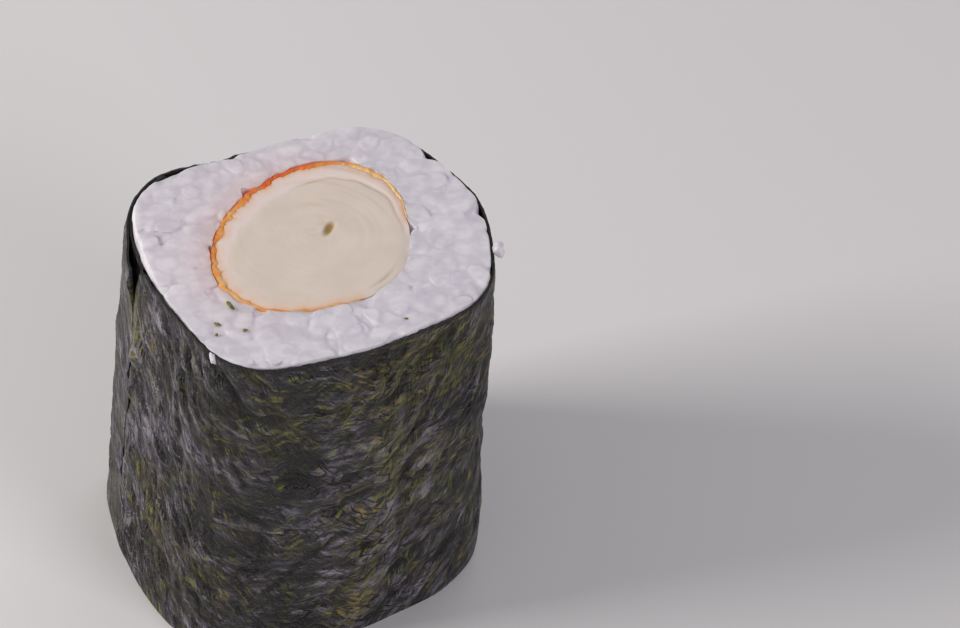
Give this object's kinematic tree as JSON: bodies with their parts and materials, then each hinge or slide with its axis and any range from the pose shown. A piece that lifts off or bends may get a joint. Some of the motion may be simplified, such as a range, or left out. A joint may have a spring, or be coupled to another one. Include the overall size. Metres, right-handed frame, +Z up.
{
  "type": "crab stick maki roll",
  "caption": "Upright cut piece of maki: a crab stick with a dyed skin in a ring of rice, wrapped in a lapped sheet of nori.",
  "frame": {"origin": "middle of the base, on the surface that the piece stands on", "axes": "+Z up through the roll from the lower cut to the upper cut, -X towards the side with the nori's lap"},
  "size_m": [0.032, 0.0306, 0.0317],
  "materials": {
    "nori": "toasted seaweed sheet, semi-gloss",
    "rice": "cooked rice, moist",
    "surimi": "fish paste, smooth and moist",
    "dyed_surimi": "dyed fish paste, moist"
  },
  "bodies": {
    "root": {"nori": "nori", "rice": "rice", "crab_stick": "surimi", "crab_stick_skin": "dyed_surimi"}
  },
  "joints": []
}
